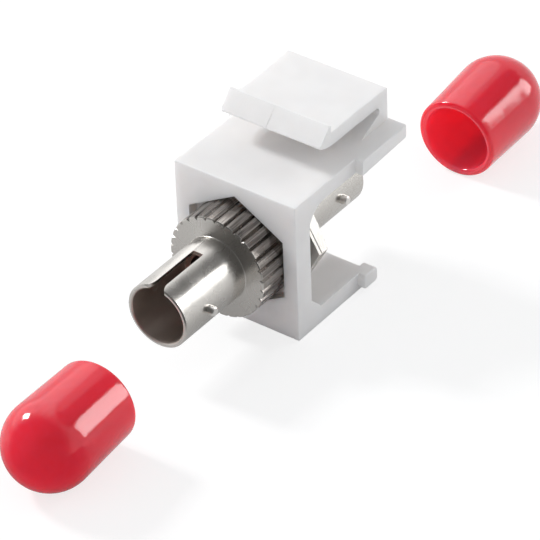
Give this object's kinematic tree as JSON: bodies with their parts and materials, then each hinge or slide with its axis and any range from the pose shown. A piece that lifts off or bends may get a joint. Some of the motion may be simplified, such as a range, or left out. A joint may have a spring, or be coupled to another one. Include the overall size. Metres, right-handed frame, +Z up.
{
  "type": "st keystone module",
  "caption": "Snap-in white moulding that holds a nickel-plated ST bayonet adapter, with its two red dust caps lying beside it.",
  "frame": {"origin": "on the adapter's axis, in the plane of the moulding's front face", "axes": "+X to the right seen from the front, +Y to the rear of the panel along the adapter's axis, +Z up towards the latch"},
  "size_m": [0.0166, 0.079, 0.0206],
  "materials": {
    "white_moulding": "fine satin moulded surface, slightly grained on the lip",
    "plated_metal": "nickel plate, fine turned lines",
    "lug_metal": "bright pins with rounded tips",
    "holder_plastic": "plain dark moulding",
    "sleeve_ceramic": "ground white ceramic",
    "red_vinyl": "glossy dip-moulded vinyl"
  },
  "bodies": {
    "module": {"housing": "white_moulding", "front_shell": "plated_metal", "rear_shell": "plated_metal", "hex_washer": "plated_metal", "front_lug_left": "lug_metal", "front_lug_right": "lug_metal", "rear_lug_left": "lug_metal", "rear_lug_right": "lug_metal", "sleeve_holder_front": "holder_plastic", "sleeve_holder_rear": "holder_plastic", "alignment_sleeve": "sleeve_ceramic", "front_dust_cap": "red_vinyl", "rear_dust_cap": "red_vinyl"},
    "latch": {"latch_arm": "white_moulding"}
  },
  "joints": [
    {"name": "latch_flex", "type": "hinge", "parent": "module", "child": "latch", "pos_m": [0, 0.01583, 0.00967], "axis": [1, 0, 0], "range_deg": [0, 12], "stiffness_Nm_per_rad": 0.2}
  ]
}
